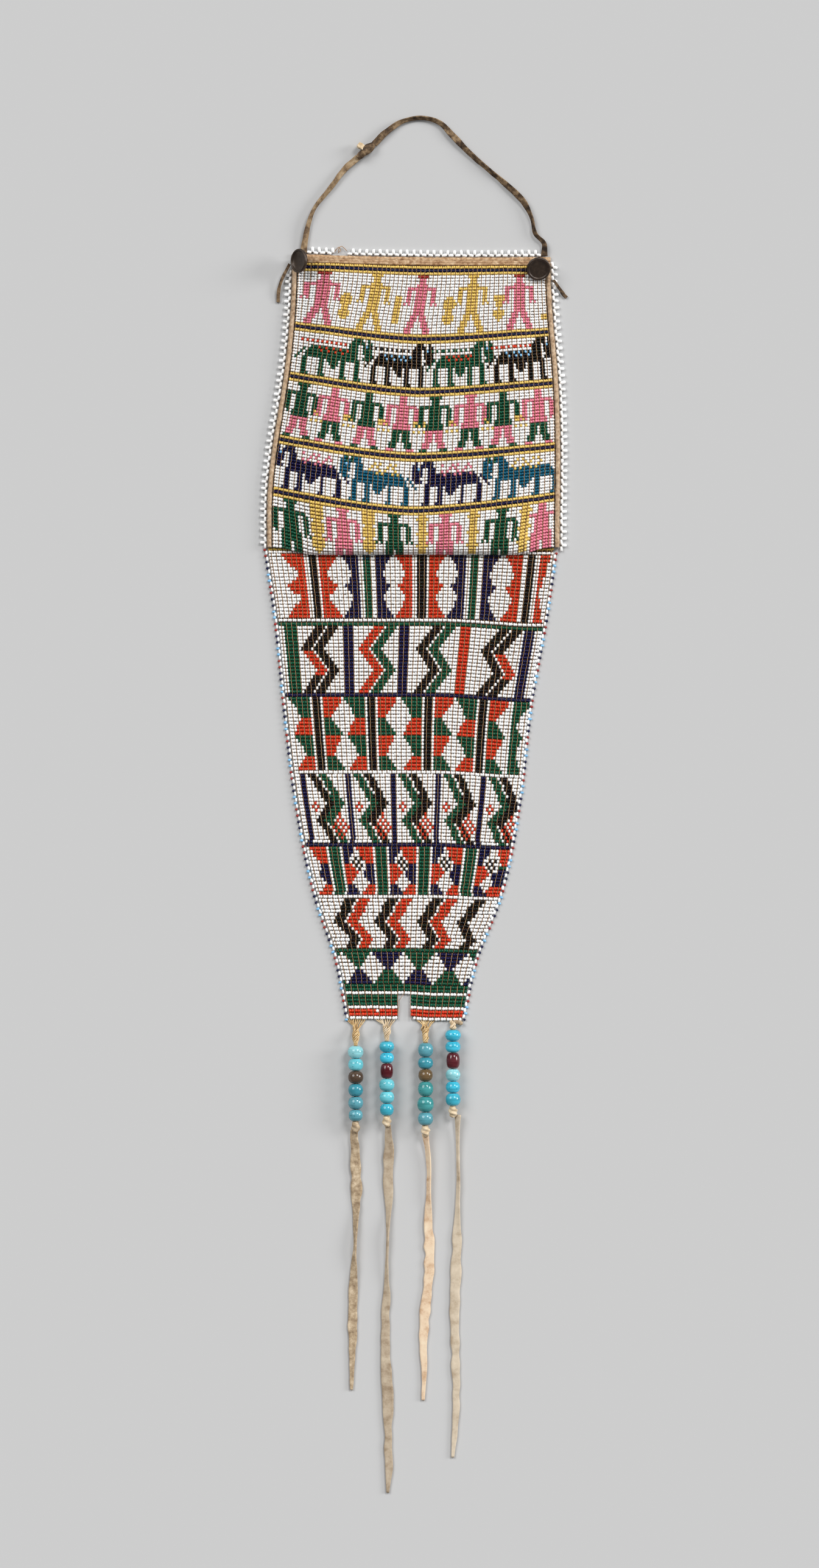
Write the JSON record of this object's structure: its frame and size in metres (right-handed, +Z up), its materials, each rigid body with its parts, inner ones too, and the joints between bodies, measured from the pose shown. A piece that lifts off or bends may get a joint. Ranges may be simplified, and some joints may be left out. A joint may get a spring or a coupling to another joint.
{
  "type": "beaded bag",
  "caption": "Flat bead-woven pouch with a tapering woven tail, a hide strap tied at the mouth, metal buttons at its corners and a fringe of large strung beads with hide streamers.",
  "frame": {"origin": "centre of the bag's outline without its thongs, on the surface that it lies on", "axes": "+Y runs from the fringe up to the strap, +X to the right as the front is seen, +Z up out of the front"},
  "size_m": [0.2019, 0.9041, 0.0174],
  "materials": {
    "bronze": "dark cast metal, satin",
    "brown": "opaque glass, glossy",
    "cream_hide": "tanned hide, matt",
    "dark_red": "opaque glass, glossy",
    "fibre": "spun plant fibre, matt",
    "hide": "worn hide, matt",
    "olive": "opaque glass with a metallic sheen",
    "pale_hide": "tanned hide, matt",
    "pale_turquoise": "opaque glass, glossy",
    "tail_beads": "glossy small glass beads, woven",
    "teal": "opaque glass, satin",
    "turquoise": "opaque glass, glossy",
    "white_beads": "glossy small glass beads, woven"
  },
  "bodies": {
    "bag": {"back_lip_hem": "fibre", "button_left": "bronze", "button_right": "bronze", "fringe_thong_1": "hide", "fringe_thong_2": "hide", "fringe_thong_3": "hide", "fringe_thong_4": "hide", "front_lip_hem": "fibre", "left_bead_edging": "white_beads", "left_tail_edging": "white_beads", "pouch_back": "white_beads", "pouch_front": "white_beads", "right_bead_edging": "white_beads", "right_tail_edging": "white_beads", "side_binding_left": "fibre", "side_binding_right": "fibre", "strap_knot": "hide", "strap_left": "hide", "strap_right": "hide", "streamer_1": "pale_hide", "streamer_2": "pale_hide", "streamer_3": "cream_hide", "streamer_4": "pale_hide", "tail": "tail_beads", "tie_left": "hide", "tie_right": "hide", "top_bead_edging": "white_beads", "warp_threads_1": "fibre", "warp_threads_2": "fibre", "warp_threads_3": "fibre", "warp_threads_4": "fibre"},
    "bead_1_1": {"fringe_bead_1_1": "pale_turquoise"},
    "bead_1_2": {"fringe_bead_1_2": "turquoise"},
    "bead_1_3": {"fringe_bead_1_3": "brown"},
    "bead_1_4": {"fringe_bead_1_4": "teal"},
    "bead_1_5": {"fringe_bead_1_5": "teal"},
    "bead_1_6": {"fringe_bead_1_6": "teal"},
    "bead_2_1": {"fringe_bead_2_1": "turquoise"},
    "bead_2_2": {"fringe_bead_2_2": "turquoise"},
    "bead_2_3": {"fringe_bead_2_3": "dark_red"},
    "bead_2_4": {"fringe_bead_2_4": "pale_turquoise"},
    "bead_2_5": {"fringe_bead_2_5": "pale_turquoise"},
    "bead_2_6": {"fringe_bead_2_6": "turquoise"},
    "bead_3_1": {"fringe_bead_3_1": "teal"},
    "bead_3_2": {"fringe_bead_3_2": "teal"},
    "bead_3_3": {"fringe_bead_3_3": "olive"},
    "bead_3_4": {"fringe_bead_3_4": "teal"},
    "bead_3_5": {"fringe_bead_3_5": "teal"},
    "bead_3_6": {"fringe_bead_3_6": "teal"},
    "bead_4_1": {"fringe_bead_4_1": "turquoise"},
    "bead_4_2": {"fringe_bead_4_2": "turquoise"},
    "bead_4_3": {"fringe_bead_4_3": "dark_red"},
    "bead_4_4": {"fringe_bead_4_4": "pale_turquoise"},
    "bead_4_5": {"fringe_bead_4_5": "turquoise"},
    "bead_4_6": {"fringe_bead_4_6": "turquoise"}
  },
  "joints": [
    {"name": "bead_1_1_turn", "type": "hinge", "parent": "bag", "child": "bead_1_1", "pos_m": [-0.0388, -0.2378, 0.0051], "axis": [0, 1, 0], "continuous": true},
    {"name": "bead_1_2_turn", "type": "hinge", "parent": "bag", "child": "bead_1_2", "pos_m": [-0.0388, -0.24605, 0.0051], "axis": [0, 1, 0], "continuous": true},
    {"name": "bead_1_3_turn", "type": "hinge", "parent": "bag", "child": "bead_1_3", "pos_m": [-0.0388, -0.25435, 0.0051], "axis": [0, 1, 0], "continuous": true},
    {"name": "bead_1_4_turn", "type": "hinge", "parent": "bag", "child": "bead_1_4", "pos_m": [-0.0388, -0.26275, 0.0051], "axis": [0, 1, 0], "continuous": true},
    {"name": "bead_1_5_turn", "type": "hinge", "parent": "bag", "child": "bead_1_5", "pos_m": [-0.0388, -0.27115, 0.0051], "axis": [0, 1, 0], "continuous": true},
    {"name": "bead_1_6_turn", "type": "hinge", "parent": "bag", "child": "bead_1_6", "pos_m": [-0.0388, -0.2793, 0.0051], "axis": [0, 1, 0], "continuous": true},
    {"name": "bead_2_1_turn", "type": "hinge", "parent": "bag", "child": "bead_2_1", "pos_m": [-0.0184, -0.23425, 0.0051], "axis": [0, 1, 0], "continuous": true},
    {"name": "bead_2_2_turn", "type": "hinge", "parent": "bag", "child": "bead_2_2", "pos_m": [-0.0184, -0.2416, 0.0051], "axis": [0, 1, 0], "continuous": true},
    {"name": "bead_2_3_turn", "type": "hinge", "parent": "bag", "child": "bead_2_3", "pos_m": [-0.0184, -0.2502, 0.0051], "axis": [0, 1, 0], "continuous": true},
    {"name": "bead_2_4_turn", "type": "hinge", "parent": "bag", "child": "bead_2_4", "pos_m": [-0.0184, -0.2593, 0.0051], "axis": [0, 1, 0], "continuous": true},
    {"name": "bead_2_5_turn", "type": "hinge", "parent": "bag", "child": "bead_2_5", "pos_m": [-0.0184, -0.26745, 0.0051], "axis": [0, 1, 0], "continuous": true},
    {"name": "bead_2_6_turn", "type": "hinge", "parent": "bag", "child": "bead_2_6", "pos_m": [-0.0184, -0.27555, 0.0051], "axis": [0, 1, 0], "continuous": true},
    {"name": "bead_3_1_turn", "type": "hinge", "parent": "bag", "child": "bead_3_1", "pos_m": [0.007, -0.23635, 0.0055], "axis": [0, 1, 0], "continuous": true},
    {"name": "bead_3_2_turn", "type": "hinge", "parent": "bag", "child": "bead_3_2", "pos_m": [0.007, -0.245, 0.0055], "axis": [0, 1, 0], "continuous": true},
    {"name": "bead_3_3_turn", "type": "hinge", "parent": "bag", "child": "bead_3_3", "pos_m": [0.007, -0.253, 0.0055], "axis": [0, 1, 0], "continuous": true},
    {"name": "bead_3_4_turn", "type": "hinge", "parent": "bag", "child": "bead_3_4", "pos_m": [0.007, -0.26195, 0.0055], "axis": [0, 1, 0], "continuous": true},
    {"name": "bead_3_5_turn", "type": "hinge", "parent": "bag", "child": "bead_3_5", "pos_m": [0.007, -0.272, 0.0055], "axis": [0, 1, 0], "continuous": true},
    {"name": "bead_3_6_turn", "type": "hinge", "parent": "bag", "child": "bead_3_6", "pos_m": [0.007, -0.28155, 0.0055], "axis": [0, 1, 0], "continuous": true},
    {"name": "bead_4_1_turn", "type": "hinge", "parent": "bag", "child": "bead_4_1", "pos_m": [0.025, -0.22685, 0.0051], "axis": [0, 1, 0], "continuous": true},
    {"name": "bead_4_2_turn", "type": "hinge", "parent": "bag", "child": "bead_4_2", "pos_m": [0.025, -0.23445, 0.0051], "axis": [0, 1, 0], "continuous": true},
    {"name": "bead_4_3_turn", "type": "hinge", "parent": "bag", "child": "bead_4_3", "pos_m": [0.025, -0.2435, 0.0051], "axis": [0, 1, 0], "continuous": true},
    {"name": "bead_4_4_turn", "type": "hinge", "parent": "bag", "child": "bead_4_4", "pos_m": [0.025, -0.25285, 0.0051], "axis": [0, 1, 0], "continuous": true},
    {"name": "bead_4_5_turn", "type": "hinge", "parent": "bag", "child": "bead_4_5", "pos_m": [0.025, -0.2608, 0.0051], "axis": [0, 1, 0], "continuous": true},
    {"name": "bead_4_6_turn", "type": "hinge", "parent": "bag", "child": "bead_4_6", "pos_m": [0.025, -0.26895, 0.0051], "axis": [0, 1, 0], "continuous": true}
  ]
}
